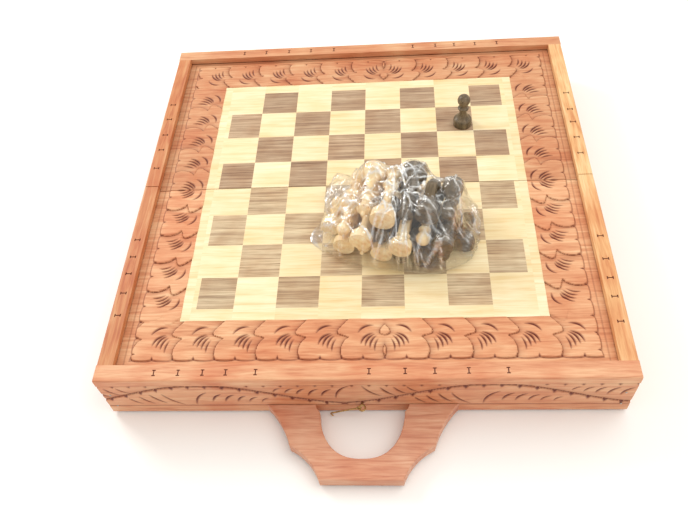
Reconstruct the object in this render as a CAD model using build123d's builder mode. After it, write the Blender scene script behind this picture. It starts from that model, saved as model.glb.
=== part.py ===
from build123d import *
import math
import os

os.makedirs("parts", exist_ok=True)

# chess squares: files run along X, ranks run along Y away from the folding seam
square = 35.0
edge_file = 31.0
edge_rank = 31.5
seam_rank = 33.0
margin_side = 11.7
margin_end = 11.5

# folding box: two upside-down trays that meet at the seam
half_width = 205.0
half_depth = 203.2
side_thick = 13.0
end_thick = 14.2
wall_low = 2.4
wall_top = 53.6
panel_top = 47.8
panel_thick = 9.0
groove = 3.0
veneer = 1.5
seam_gap = 0.4
square_land = 0.05  # light wood left between dark squares that meet at a corner
hinge_wall_thick = 12.0
hinge_wall_chamfer = 1.4

# seam hinges
axis_z = 1.15
knuckle_r = 1.1
pin_r = 0.6
pin_hole_r = 0.65
leaf_low = 1.6
leaf_start = 1.6
leaf_reach = 11.4
leaf_half = 20.0
knuckle_split = 7.0
knuckle_gap = 0.3
knuckle_web = 0.65
hinge_x = 120.0
screw_pitch = 13.0

# handle plate under the front wall: half widths at the wall, at the shoulders and at the
# front edge, then the arch for the fingers as (half width, distance from the wall)
handle_thick = 10.4
handle_half = 75.5
handle_shoulder = 55.5
handle_shoulder_out = 34.0
handle_tip = 31.5
handle_reach = 61.0
handle_arch_root = 37.0
handle_arch = [(33.4, 6.0), (32.0, 16.5), (27.0, 30.0), (20.0, 38.3), (12.0, 42.6), (0, 44.2)]
handle_edge = 0.7

# hook latch, drawn at rest with its tip close to the table
shank_end = half_depth - 9.0  # how deep the screw eyes reach into the walls
wire_r = 0.65
hook_r = 0.6
eye_r = 2.45
eye_out = 3.7
eye_z = 14.1
hook_loop_r = 1.67
hook_length = 25.05
hook_bend = 1.3
hook_tip = 4.6
hook_rest_deg = 21.4

# felt pads: radius, place along the end wall and distance from the seam, for each half
pad_r = 4.5
front_pads = (half_width - 9.0, 26.0)
back_pads = (half_width - 27.0, 46.0)

# nails at the corners, screws of the hinges and of the handle
nail_r = 0.8
nail_x = half_width - side_thick / 2
nail_heights = (12.0, 30.0)
nail_bite = 12.0
cross_nail_d = seam_gap + hinge_wall_thick / 2
screw_r = 0.9
screw_head_r = 1.7
screw_bite = 9.0
screw_d = 7.2
handle_screw_r = 2.0
handle_screw_head_r = 4.0
handle_screw_head = 2.4
handle_screw_x = 49.0
handle_screw_bite = 22.0
handle_z = wall_low + handle_thick / 2

# small carved marks along the rails, at X on the end walls and at distances from the seam
mark_stroke = 5.4
mark_serif = 2.8
mark_width = 0.9
mark_depth = 0.65
front_rail_marks = (-158.0, -139.0, -120.0, -102.0, -79.0, 7.0, 34.0, 56.0, 81.0, 110.0)
back_rail_marks = (-133.0, -109.0, -84.0, -60.0, -35.0, 50.0, 74.0, 94.0, 116.0, 139.0)
left_front_marks = (64.0, 83.0, 101.0, 121.0, 143.0)
right_front_marks = (71.0, 95.0, 114.0, 132.0, 155.0)
left_back_marks = (24.0, 49.0, 70.0, 93.0, 115.0)
right_back_marks = (27.0, 48.0, 69.0, 87.0, 111.0)
rail_round = 1.2

# bag of pieces on the front half
bag_x = 32.0
bag_out = 53.0
bag_yaw = -11.0
film = 0.6

# pawn on the back half
pawn_x = 95.0
pawn_d = 77.5

# the seam's Y, so that the whole part is centred on the origin
catch_reach = eye_out + eye_r + wire_r
seam_y = (handle_reach - catch_reach) / 2

# square borders from the middle line and from the seam
file_lines = [0, square, 2 * square, 3 * square, 3 * square + edge_file]
rank_lines = [seam_gap, seam_rank, seam_rank + square, seam_rank + 2 * square]
rank_lines.append(seam_rank + 2 * square + edge_rank)
field_half = file_lines[4] + margin_side
field_end = rank_lines[4] + margin_end


def along(side, distance):
    """Y at a distance from the seam; side is -1 for the front half, 1 for the back half."""
    return seam_y + side * distance


def block(side, x_low, x_high, d_low, d_high, z_low, z_high, mode=Mode.ADD):
    """A box between two X values, two distances from the seam and two heights."""
    centre = ((x_low + x_high) / 2, along(side, (d_low + d_high) / 2), (z_low + z_high) / 2)
    with Locations(centre):
        Box(x_high - x_low, d_high - d_low, z_high - z_low, mode=mode)


def rail_marks(points, across_x):
    """I-shaped notches in the top of a rail, their long stroke across the rail."""
    end = (mark_stroke - mark_width) / 2
    bars = [(0, mark_stroke, mark_width), (-end, mark_width, mark_serif),
            (end, mark_width, mark_serif)]
    for shift, reach_across, reach_along in bars:
        for x, y in points:
            place = (x + shift, y, wall_top) if across_x else (x, y + shift, wall_top)
            turn = 0 if across_x else 90
            with Locations(Location(place, (0, 0, turn))):
                Box(reach_across, reach_along, 2 * mark_depth, mode=Mode.SUBTRACT)


def bore(side, x, d, z, radius, depth, axis):
    """A blind hole along an axis, from a point at distance d from the seam."""
    turn = {"y": (90, 0, 0), "x": (0, 90, 0), "z": (0, 0, 0)}[axis]
    with Locations(Location((x, along(side, d), z), turn)):
        Cylinder(radius, depth, mode=Mode.SUBTRACT)


def end_wall(side, marks):
    """Front or back wall: full width, grooved for the panel, drilled for the corner nails."""
    block(side, -half_width, half_width, half_depth - end_thick, half_depth, wall_low, wall_top)
    outer = half_depth - end_thick
    block(side, -half_width + side_thick - groove, half_width - side_thick + groove, outer,
          outer + groove, panel_top - panel_thick, panel_top, Mode.SUBTRACT)
    rail_marks([(x, along(side, half_depth - end_thick / 2)) for x in marks], False)
    for sx in (-1, 1):
        for z in nail_heights:
            bore(side, sx * nail_x, half_depth - end_thick / 2, z, nail_r, end_thick, "y")


def side_wall(side, sx, marks):
    """Side wall of one half, between the end wall and the seam."""
    inner = half_width - side_thick
    end = half_depth - end_thick
    low, high = sorted((sx * inner, sx * half_width))
    block(side, low, high, seam_gap, end, wall_low, wall_top)
    low, high = sorted((sx * inner, sx * (inner + groove)))
    block(side, low, high, seam_gap, end, panel_top - panel_thick, panel_top, Mode.SUBTRACT)
    rail_marks([(sx * (half_width - side_thick / 2), along(side, d)) for d in marks], True)
    for z in nail_heights:
        bore(side, sx * nail_x, end - nail_bite / 2, z, nail_r, nail_bite, "y")
    for z in nail_heights:
        bore(side, sx * (half_width - side_thick / 2), cross_nail_d, z, nail_r, side_thick, "x")


def hinge_wall(side):
    """Low wall under the panel at the seam, relieved along its bottom edge for the knuckles."""
    inner = half_width - side_thick
    low_edge = hinge_wall_chamfer + seam_gap
    block(side, -inner, inner, seam_gap, seam_gap + hinge_wall_thick, wall_low,
          panel_top - panel_thick)
    with BuildSketch(Plane.YZ.offset(-inner)) as relief:
        with BuildLine():
            Polyline((along(side, seam_gap), wall_low), (along(side, low_edge), wall_low),
                     (along(side, seam_gap), wall_low + hinge_wall_chamfer), close=True)
        make_face()
    extrude(relief.sketch, amount=2 * inner, mode=Mode.SUBTRACT)
    for centre in (-hinge_x, hinge_x):
        for k in (-1, 0, 1):
            bore(side, centre + k * screw_pitch, screw_d, wall_low + screw_bite / 2, screw_r,
                 screw_bite, "z")
    for sx in (-1, 1):
        for z in nail_heights:
            bore(side, sx * (inner - nail_bite / 2), cross_nail_d, z, nail_r, nail_bite, "x")


def panel(side):
    """Board of one half, let into the walls, with a pocket for the inlaid squares."""
    inner = half_width - side_thick + groove
    block(side, -inner, inner, seam_gap, half_depth - end_thick + groove,
          panel_top - panel_thick, panel_top)
    block(side, -field_half, field_half, seam_gap, field_end, panel_top - veneer, panel_top,
          Mode.SUBTRACT)


def dark_places(side):
    """Centre and size of each dark square of one half."""
    places = []
    for rank in range(4):
        d_low, d_high = rank_lines[rank], rank_lines[rank + 1]
        for file in range(8):
            x_low = file_lines[file - 4] if file >= 4 else -file_lines[4 - file]
            x_high = file_lines[file - 3] if file >= 4 else -file_lines[3 - file]
            count = 3 - rank if side < 0 else 4 + rank
            if (count + file) % 2 == 0:
                d_start = d_low if rank == 0 else d_low + square_land
                places.append((x_low + square_land, x_high - square_land, d_start,
                               d_high - square_land))
    return places


def light_field(side):
    """Light veneer with an opening for every dark square."""
    block(side, -field_half, field_half, seam_gap, field_end, panel_top - veneer, panel_top)
    for x_low, x_high, d_low, d_high in dark_places(side):
        block(side, x_low, x_high, d_low, d_high, panel_top - veneer, panel_top, Mode.SUBTRACT)


def leaf(side, centre, outer):
    """Hinge leaf under the hinge wall; outer leaves carry two knuckles, inner ones the middle."""
    block(side, centre - leaf_half, centre + leaf_half, leaf_start, leaf_reach, leaf_low,
          wall_low)
    if outer:
        hole = pin_r
        spans = [(-leaf_half, -knuckle_split), (knuckle_split, leaf_half)]
    else:
        hole = pin_hole_r
        spans = [(knuckle_gap - knuckle_split, knuckle_split - knuckle_gap)]
    for low, high in spans:
        block(side, centre + low, centre + high, 0, leaf_start, leaf_low, leaf_low + knuckle_web)
        with Locations(Location((centre + (low + high) / 2, seam_y, axis_z), (0, 90, 0))):
            Cylinder(knuckle_r, high - low)
    with Locations(Location((centre, seam_y, axis_z), (0, 90, 0))):
        Cylinder(hole, 2 * leaf_half + 2, mode=Mode.SUBTRACT)
    for k in (-1, 0, 1):
        spot = (centre + k * screw_pitch, along(side, screw_d), (leaf_low + wall_low) / 2)
        with Locations(spot):
            Cone(screw_head_r, screw_r, wall_low - leaf_low, mode=Mode.SUBTRACT)


def leaf_screws(side):
    """Countersunk slotted screws of both leaves of one half."""
    for centre in (-hinge_x, hinge_x):
        for k in (-1, 0, 1):
            x = centre + k * screw_pitch
            y = along(side, screw_d)
            with Locations((x, y, (leaf_low + wall_low) / 2)):
                Cone(screw_head_r, screw_r, wall_low - leaf_low)
            with Locations((x, y, wall_low + screw_bite / 2)):
                Cylinder(screw_r, screw_bite)
            with Locations((x, y, leaf_low)):
                Box(0.5, 2 * screw_head_r, 0.6, mode=Mode.SUBTRACT)


def pads(side, end_x, side_d):
    """Felt pads under the walls; the two halves keep theirs at different places."""
    places = [(sx * end_x, along(side, half_depth - end_thick / 2)) for sx in (-1, 1)]
    places += [(sx * (half_width - side_thick / 2), along(side, side_d)) for sx in (-1, 1)]
    for x, y in places:
        with Locations((x, y, wall_low / 2)):
            Cylinder(pad_r, wall_low)


def corner_nails(side):
    """Nails from the end wall into the side walls and from those into the hinge wall."""
    long = end_thick + nail_bite
    for sx in (-1, 1):
        for z in nail_heights:
            with Locations(Location((sx * nail_x, along(side, half_depth - long / 2), z),
                                    (90, 0, 0))):
                Cylinder(nail_r, long)
        cross = side_thick + nail_bite
        for z in nail_heights:
            with Locations(Location((sx * (half_width - cross / 2), along(side, cross_nail_d), z),
                                    (0, 90, 0))):
                Cylinder(nail_r, cross)


# front half: carcass
with BuildPart() as front_wall:
    end_wall(-1, front_rail_marks)
    bore(-1, 0, (half_depth + shank_end) / 2, eye_z, wire_r, half_depth - shank_end, "y")
    for x in (-handle_screw_x, handle_screw_x):
        bore(-1, x, half_depth - end_thick / 2, handle_z, handle_screw_r, end_thick, "y")
        head = along(-1, half_depth - end_thick + handle_screw_head / 2)
        with Locations(Location((x, head, handle_z), (90, 0, 0))):
            Cone(handle_screw_r, handle_screw_head_r, handle_screw_head, mode=Mode.SUBTRACT)
    top_edges = front_wall.edges().filter_by(Axis.X).group_by(Axis.Z)[-1]
    fillet(top_edges.sort_by(Axis.Y)[0], rail_round)
front_wall.part.label = "front_wall"
export_step(front_wall.part, "parts/front_wall.step")

with BuildPart() as front_left_wall:
    side_wall(-1, -1, left_front_marks)
    top_edges = front_left_wall.edges().filter_by(Axis.Y).group_by(Axis.Z)[-1]
    fillet(top_edges.sort_by(Axis.X)[0], rail_round)
front_left_wall.part.label = "front_left_wall"
export_step(front_left_wall.part, "parts/front_left_wall.step")

with BuildPart() as front_right_wall:
    side_wall(-1, 1, right_front_marks)
    top_edges = front_right_wall.edges().filter_by(Axis.Y).group_by(Axis.Z)[-1]
    fillet(top_edges.sort_by(Axis.X)[-1], rail_round)
front_right_wall.part.label = "front_right_wall"
export_step(front_right_wall.part, "parts/front_right_wall.step")

with BuildPart() as front_hinge_wall:
    hinge_wall(-1)
front_hinge_wall.part.label = "front_hinge_wall"
export_step(front_hinge_wall.part, "parts/front_hinge_wall.step")

with BuildPart() as front_panel:
    panel(-1)
front_panel.part.label = "front_panel"
export_step(front_panel.part, "parts/front_panel.step")

with BuildPart() as front_light_veneer:
    light_field(-1)
front_light_veneer.part.label = "front_light_veneer"
export_step(front_light_veneer.part, "parts/front_light_veneer.step")

with BuildPart() as front_dark_squares:
    for x_low, x_high, d_low, d_high in dark_places(-1):
        block(-1, x_low, x_high, d_low, d_high, panel_top - veneer, panel_top)
front_dark_squares.part.label = "front_dark_squares"
export_step(front_dark_squares.part, "parts/front_dark_squares.step")

# back half: carcass
with BuildPart() as back_wall:
    end_wall(1, back_rail_marks)
    bore(1, 0, (half_depth + shank_end) / 2, eye_z, wire_r, half_depth - shank_end, "y")
    top_edges = back_wall.edges().filter_by(Axis.X).group_by(Axis.Z)[-1]
    fillet(top_edges.sort_by(Axis.Y)[-1], rail_round)
back_wall.part.label = "back_wall"
export_step(back_wall.part, "parts/back_wall.step")

with BuildPart() as back_left_wall:
    side_wall(1, -1, left_back_marks)
    top_edges = back_left_wall.edges().filter_by(Axis.Y).group_by(Axis.Z)[-1]
    fillet(top_edges.sort_by(Axis.X)[0], rail_round)
back_left_wall.part.label = "back_left_wall"
export_step(back_left_wall.part, "parts/back_left_wall.step")

with BuildPart() as back_right_wall:
    side_wall(1, 1, right_back_marks)
    top_edges = back_right_wall.edges().filter_by(Axis.Y).group_by(Axis.Z)[-1]
    fillet(top_edges.sort_by(Axis.X)[-1], rail_round)
back_right_wall.part.label = "back_right_wall"
export_step(back_right_wall.part, "parts/back_right_wall.step")

with BuildPart() as back_hinge_wall:
    hinge_wall(1)
back_hinge_wall.part.label = "back_hinge_wall"
export_step(back_hinge_wall.part, "parts/back_hinge_wall.step")

with BuildPart() as back_panel:
    panel(1)
back_panel.part.label = "back_panel"
export_step(back_panel.part, "parts/back_panel.step")

with BuildPart() as back_light_veneer:
    light_field(1)
back_light_veneer.part.label = "back_light_veneer"
export_step(back_light_veneer.part, "parts/back_light_veneer.step")

with BuildPart() as back_dark_squares:
    for x_low, x_high, d_low, d_high in dark_places(1):
        block(1, x_low, x_high, d_low, d_high, panel_top - veneer, panel_top)
back_dark_squares.part.label = "back_dark_squares"
export_step(back_dark_squares.part, "parts/back_dark_squares.step")

# hinges, nails and pads
for hand, centre in (("left", -hinge_x), ("right", hinge_x)):
    for half, side in (("front", -1), ("back", 1)):
        with BuildPart() as hinge_leaf:
            leaf(side, centre, half == "front")
        hinge_leaf.part.label = f"{hand}_hinge_{half}_leaf"
        export_step(hinge_leaf.part, f"parts/{hand}_hinge_{half}_leaf.step")
    with BuildPart() as hinge_pin:
        with Locations(Location((centre, seam_y, axis_z), (0, 90, 0))):
            Cylinder(pin_r, 2 * leaf_half)
    hinge_pin.part.label = f"{hand}_hinge_pin"
    export_step(hinge_pin.part, f"parts/{hand}_hinge_pin.step")

with BuildPart() as front_hinge_screws:
    leaf_screws(-1)
front_hinge_screws.part.label = "front_hinge_screws"
export_step(front_hinge_screws.part, "parts/front_hinge_screws.step")

with BuildPart() as back_hinge_screws:
    leaf_screws(1)
back_hinge_screws.part.label = "back_hinge_screws"
export_step(back_hinge_screws.part, "parts/back_hinge_screws.step")

with BuildPart() as front_corner_nails:
    corner_nails(-1)
front_corner_nails.part.label = "front_corner_nails"
export_step(front_corner_nails.part, "parts/front_corner_nails.step")

with BuildPart() as back_corner_nails:
    corner_nails(1)
back_corner_nails.part.label = "back_corner_nails"
export_step(back_corner_nails.part, "parts/back_corner_nails.step")

with BuildPart() as front_feet:
    pads(-1, *front_pads)
front_feet.part.label = "front_feet"
export_step(front_feet.part, "parts/front_feet.step")

with BuildPart() as back_feet:
    pads(1, *back_pads)
back_feet.part.label = "back_feet"
export_step(back_feet.part, "parts/back_feet.step")

# handle: a flat plate with a bat-wing outline and an arch for the fingers
face_y = along(-1, half_depth)
with BuildPart() as handle:
    with BuildSketch(Plane.XY.offset(wall_low)):
        with BuildLine():
            for sx in (-1, 1):
                root = (sx * handle_half, face_y)
                shoulder = (sx * handle_shoulder, face_y - handle_shoulder_out)
                tip = (sx * handle_tip, face_y - handle_reach)
                arch_root = (sx * handle_arch_root, face_y)
                arch_start = (sx * handle_arch[0][0], face_y - handle_arch[0][1])
                Line(root, arch_root)
                SagittaArc(root, shoulder, -sx * 2.4)
                SagittaArc(shoulder, tip, -sx * 3.6)
                SagittaArc(arch_root, arch_start, sx * 0.8)
            Line((-handle_tip, face_y - handle_reach), (handle_tip, face_y - handle_reach))
            left = [(-x, face_y - r) for x, r in handle_arch]
            right = [(x, face_y - r) for x, r in reversed(handle_arch[:-1])]
            Spline(left + right)
        make_face()
    extrude(amount=handle_thick)
    rim = handle.faces().sort_by(Axis.Z)[-1].edges()
    free_y = face_y - handle_arch[0][1] - 1
    chamfer(rim.filter_by(lambda edge: edge.center().Y < free_y), handle_edge)
    for x in (-handle_screw_x, handle_screw_x):
        with Locations(Location((x, face_y - handle_screw_bite / 2, handle_z), (90, 0, 0))):
            Cylinder(handle_screw_r, handle_screw_bite, mode=Mode.SUBTRACT)
handle.part.label = "handle"
export_step(handle.part, "parts/handle.step")

with BuildPart() as handle_screws:
    for x in (-handle_screw_x, handle_screw_x):
        start = half_depth - end_thick
        long = end_thick + handle_screw_bite
        head = along(-1, start + handle_screw_head / 2)
        with Locations(Location((x, along(-1, start + long / 2), handle_z), (90, 0, 0))):
            Cylinder(handle_screw_r, long)
        with Locations(Location((x, head, handle_z), (90, 0, 0))):
            Cone(handle_screw_r, handle_screw_head_r, handle_screw_head)
        with Locations((x, along(-1, start), handle_z)):
            Box(2 * handle_screw_head_r, 1.4, 0.9, mode=Mode.SUBTRACT)
handle_screws.part.label = "handle_screws"
export_step(handle_screws.part, "parts/handle_screws.step")

# latch: two screw eyes and a hook that hangs on the front one
ring_y = along(-1, half_depth + eye_out)
shank = eye_out - eye_r + half_depth - shank_end
with BuildPart() as hook_screw_eye:
    with Locations((0, ring_y, eye_z)):
        Torus(eye_r, wire_r)
    with Locations(Location((0, along(-1, shank_end + shank / 2), eye_z), (90, 0, 0))):
        Cylinder(wire_r, shank)
hook_screw_eye.part.label = "hook_screw_eye"
export_step(hook_screw_eye.part, "parts/hook_screw_eye.step")

with BuildPart() as catch_screw_eye:
    with Locations(Location((0, along(1, half_depth + eye_out), eye_z), (0, 90, 0))):
        Torus(eye_r, wire_r)
    with Locations(Location((0, along(1, shank_end + shank / 2), eye_z), (90, 0, 0))):
        Cylinder(wire_r, shank)
catch_screw_eye.part.label = "catch_screw_eye"
export_step(catch_screw_eye.part, "parts/catch_screw_eye.step")

fall = math.radians(hook_rest_deg)
reach = (-math.cos(fall), -math.sin(fall))
nose = (math.sin(fall), -math.cos(fall))


def hook_point(out, down):
    """A point of the hook's centre line, in its own swing plane through the pivot."""
    return (-eye_r + out * reach[0] + down * nose[0], ring_y,
            eye_z + out * reach[1] + down * nose[1])


with BuildPart() as latch_hook:
    middle = hook_bend * (1 - math.sqrt(0.5))
    bend_start = hook_point(hook_length - hook_bend, 0)
    bend_end = hook_point(hook_length, hook_bend)
    with BuildLine() as hook_path:
        Line(hook_point(hook_loop_r, 0), bend_start)
        ThreePointArc(bend_start, hook_point(hook_length - middle, middle), bend_end)
        Line(bend_end, hook_point(hook_length, hook_tip))
    with BuildSketch(Plane(hook_point(hook_loop_r, 0), z_dir=(reach[0], 0, reach[1]))):
        Circle(hook_r)
    sweep(path=hook_path.line)
    with Locations(hook_point(hook_length, hook_tip)):
        Sphere(hook_r)
    with Locations(Location((-eye_r, ring_y, eye_z), (90, 0, 0))):
        Torus(hook_loop_r, hook_r)
latch_hook.part.label = "latch_hook"
export_step(latch_hook.part, "parts/latch_hook.step")


# chess pieces: each is turned about +Z, standing on z = 0
def turned(points):
    """Revolve (radius, height, bulge) steps; positive bulges swell, a last one domes the top."""
    with BuildSketch(Plane.XZ) as profile:
        with BuildLine():
            last = (points[0][0], points[0][1])
            Line((0, last[1]), last)
            for r, z, bulge in points[1:]:
                if r == 0 and bulge:
                    centre = (z * z - last[1] ** 2 - last[0] ** 2) / (2 * (z - last[1]))
                    half = math.atan2(last[0], last[1] - centre) / 2
                    crest = z - centre
                    ThreePointArc(last, (crest * math.sin(half), centre + crest * math.cos(half)),
                                  (0, z))
                elif bulge:
                    SagittaArc(last, (r, z), -bulge)
                else:
                    Line(last, (r, z))
                last = (r, z)
            Line(last, (0, points[0][1]))
        make_face()
    revolve(profile.sketch, axis=Axis.Z)


def pawn_form():
    turned([(8.75, 0, 0), (8.75, 4.6, 0), (7.4, 8.4, 0.6), (3.5, 18.4, -1.6), (5.2, 19.6, 0),
            (5.2, 20.8, 0), (3.2, 24.4, -0.5), (0, 35.5, 1)])


def rook_form():
    turned([(9.25, 0, 0), (9.25, 4.8, 0), (7.6, 8.8, 0.65), (4.7, 24.0, -1.2), (6.3, 26.0, -0.4),
            (6.7, 27.2, 0), (6.7, 36.0, 0), (4.4, 36.0, 0), (4.4, 33.0, 0), (0, 33.0, 0)])
    for a in (0, 60, 120):
        with Locations(Location((0, 0, 35.2), (0, 0, a))):
            Box(16.0, 1.8, 3.6, mode=Mode.SUBTRACT)


def bishop_form():
    turned([(9.25, 0, 0), (9.25, 4.8, 0), (7.6, 8.8, 0.65), (3.5, 26.0, -2.0), (5.7, 28.2, 0),
            (5.7, 30.0, 0), (3.4, 32.0, -0.5), (1.5, 43.2, 3.6), (1.5, 44.0, 0), (0, 46.6, 1)])
    with Locations(Location((4.0, 0, 41.0), (0, -40, 0))):
        Box(8.0, 12.0, 1.0, mode=Mode.SUBTRACT)


def queen_form():
    turned([(9.6, 0, 0), (9.6, 5.2, 0), (8.0, 9.6, 0.7), (3.9, 29.0, -2.4), (5.9, 31.4, 0),
            (5.9, 33.2, 0), (3.9, 35.2, -0.5), (6.4, 48.0, -1.2), (5.0, 49.2, 0),
            (1.6, 50.4, 0), (0, 53.8, 1)])
    for a in range(0, 360, 45):
        turn = math.radians(a)
        with Locations(Location((6.5 * math.cos(turn), 6.5 * math.sin(turn), 49.4), (0, 0, a))):
            Box(3.8, 1.6, 5.0, mode=Mode.SUBTRACT)


def king_form():
    turned([(10.4, 0, 0), (10.4, 5.4, 0), (8.6, 10.0, 0.75), (4.3, 35.0, -2.8), (6.4, 37.6, 0),
            (6.4, 39.6, 0), (4.4, 41.8, -0.5), (6.8, 52.0, -1.1), (0, 54.6, 1)])
    with Locations((0, 0, 57.4)):
        Box(1.9, 1.9, 7.2)
    with Locations((0, 0, 57.8)):
        Box(5.4, 1.9, 1.9)


def knight_form():
    turned([(9.25, 0, 0), (9.25, 4.8, 0), (7.6, 8.8, 0.65), (5.4, 12.6, -0.8), (6.2, 13.6, 0),
            (6.2, 15.0, 0), (0, 15.0, 0)])
    with BuildSketch(Plane.XZ.offset(-4.3)) as head:
        with BuildLine():
            Polyline((-5.6, 14.0), (5.4, 14.0))
            Spline((5.4, 14.0), (3.6, 20.0), (1.6, 24.0), (2.6, 26.2))
            Polyline((2.6, 26.2), (6.4, 24.2), (7.3, 27.0), (5.6, 32.6), (2.6, 37.6), (1.0, 41.0),
                     (-0.8, 37.8))
            Spline((-0.8, 37.8), (-4.8, 33.0), (-6.4, 25.0), (-5.6, 14.0))
        make_face()
    extrude(head.sketch, amount=8.6)


tall = {"pawn": 35.5, "rook": 36.0, "knight": 41.0, "bishop": 46.6, "queen": 53.8, "king": 61.0}

# lying pieces in the bag: kind, u along the bag, v across it, height, heading base to head
bottom_layer = 10.4
middle_layer = 26.7
top_layer = 43.4
pair_gap = 0.9


def pair(u, height, first, second, heads_in):
    """Two pieces end to end across the bag, heads inward or bases inward."""
    a, b = tall[first], tall[second]
    total = a + b + pair_gap
    turn = (90, 270) if heads_in else (270, 90)
    return [(first, u, (a - total) / 2, height, turn[0]),
            (second, u, (total - b) / 2, height, turn[1])]


pile = [("pawn", -57.0, 0, bottom_layer - 0.6, 90), ("pawn", 57.2, 0, bottom_layer - 0.6, 90)]
pile += pair(-41.2, bottom_layer, "rook", "rook", True)
pile += pair(-24.7, bottom_layer, "bishop", "pawn", False)
pile += pair(-8.4, bottom_layer, "knight", "rook", True)
pile += pair(8.4, bottom_layer, "queen", "pawn", False)
pile += pair(25.2, bottom_layer, "rook", "knight", True)
pile += pair(41.6, bottom_layer, "pawn", "pawn", False)
pile += pair(-41.2, middle_layer - 0.2, "pawn", "pawn", False)
pile += pair(-25.0, middle_layer, "bishop", "pawn", True)
pile += pair(-8.4, middle_layer, "bishop", "pawn", False)
pile += pair(8.4, middle_layer, "knight", "bishop", True)
pile += pair(25.0, middle_layer + 0.4, "pawn", "pawn", False)
pile += pair(41.6, middle_layer - 0.4, "pawn", "pawn", True)
pile += [("queen", -25.2, 0, top_layer - 0.4, 270), ("king", -8.4, 0, top_layer, 90),
         ("king", 8.8, 0, top_layer, 270), ("knight", 25.6, 0, top_layer + 0.1, 90),
         ("pawn", 42.2, 0, top_layer - 2.0, 270)]


def lying(kind, u, v, height, heading):
    """Location of a piece lying on its side in the bag, from its place in the bag's own plan."""
    yaw = math.radians(bag_yaw)
    back = tall[kind] / 2
    turn = math.radians(heading)
    u0 = u - back * math.cos(turn)
    v0 = v - back * math.sin(turn)
    x = bag_x + u0 * math.cos(yaw) - v0 * math.sin(yaw)
    y = along(-1, bag_out) + u0 * math.sin(yaw) + v0 * math.cos(yaw)
    flat = Location((x, y, panel_top + height), (0, 0, heading + bag_yaw))
    return flat * Location((0, 0, 0), (0, 90, 0))


def spots(kind, light):
    """Places of one kind of piece; the light ones lie further left than the dark ones."""
    same = sorted((entry for entry in pile if entry[0] == kind), key=lambda entry: entry[1])
    light_count = (len(same) + 1) // 2
    chosen = same[:light_count] if light else same[light_count:]
    return [lying(*entry) for entry in chosen]


shapes = {}
forms = {"king": king_form, "queen": queen_form, "bishop": bishop_form, "knight": knight_form,
         "rook": rook_form, "pawn": pawn_form}
for kind, form in forms.items():
    with BuildPart() as shape:
        form()
    shapes[kind] = shape.part


def bagged(name, kind, places):
    """One node of the bag: a shape at one place, or a group of them."""
    with BuildPart() as bagged_piece:
        with Locations(*places):
            add(shapes[kind])
    bagged_piece.part.label = name
    export_step(bagged_piece.part, f"parts/{name}.step")


for tone in ("light", "dark"):
    for kind in forms:
        places = spots(kind, tone == "light")
        if kind == "pawn":
            bagged(f"{tone}_pawns", kind, places)
        elif len(places) == 1:
            bagged(f"{tone}_{kind}", kind, places)
        else:
            for number, single in enumerate(places, 1):
                bagged(f"{tone}_{kind}_{number}", kind, [single])

# the pawn that stands on the back half
with BuildPart() as standing_dark_pawn:
    with Locations((pawn_x, along(1, pawn_d), panel_top)):
        add(shapes["pawn"])
standing_dark_pawn.part.label = "standing_dark_pawn"
export_step(standing_dark_pawn.part, "parts/standing_dark_pawn.step")

# thin film bag: height, half length, half width and corner radius of each level
levels = [(0, 64.0, 45.0, 31.0), (4.0, 67.5, 49.0, 34.0), (9.0, 69.0, 50.0, 35.0),
          (31.0, 68.0, 49.0, 34.0), (45.0, 60.0, 45.5, 31.0), (51.0, 52.0, 41.5, 29.0),
          (55.0, 42.0, 36.0, 25.0)]


def bag_body(inset, mode):
    """Pillow through the levels, each drawn in by an inset."""
    yaw = math.radians(bag_yaw)
    sections = []
    for height, half_u, half_v, corner in levels:
        z = panel_top + min(max(height, inset), levels[-1][0] - inset)
        origin = (bag_x, along(-1, bag_out), z)
        with BuildSketch(Plane(origin, x_dir=(math.cos(yaw), math.sin(yaw), 0),
                               z_dir=(0, 0, 1))) as level:
            RectangleRounded(2 * (half_u - inset), 2 * (half_v - inset), corner - inset)
        sections.append(level.sketch)
    loft(sections, ruled=True, mode=mode)


with BuildPart() as plastic_bag:
    bag_body(0, Mode.ADD)
    bag_body(film, Mode.SUBTRACT)
plastic_bag.part.label = "plastic_bag"
export_step(plastic_bag.part, "parts/plastic_bag.step")
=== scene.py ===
import math
import bpy
import bmesh
import numpy as np
from mathutils import Matrix, Vector


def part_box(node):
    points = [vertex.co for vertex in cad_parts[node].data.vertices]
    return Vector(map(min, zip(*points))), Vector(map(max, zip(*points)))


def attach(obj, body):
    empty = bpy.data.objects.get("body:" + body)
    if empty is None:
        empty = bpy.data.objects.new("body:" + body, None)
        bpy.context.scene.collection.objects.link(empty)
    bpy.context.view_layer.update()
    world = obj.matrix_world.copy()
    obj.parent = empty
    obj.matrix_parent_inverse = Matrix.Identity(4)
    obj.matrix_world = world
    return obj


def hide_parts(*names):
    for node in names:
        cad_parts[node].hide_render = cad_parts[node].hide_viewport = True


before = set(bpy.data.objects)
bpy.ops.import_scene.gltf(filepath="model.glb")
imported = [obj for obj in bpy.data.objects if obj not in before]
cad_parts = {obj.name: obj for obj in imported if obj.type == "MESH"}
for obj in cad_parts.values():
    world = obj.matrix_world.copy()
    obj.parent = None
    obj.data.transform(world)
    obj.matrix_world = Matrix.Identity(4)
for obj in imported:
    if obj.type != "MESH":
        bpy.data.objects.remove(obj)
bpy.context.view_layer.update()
print("frame loaded")

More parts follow.
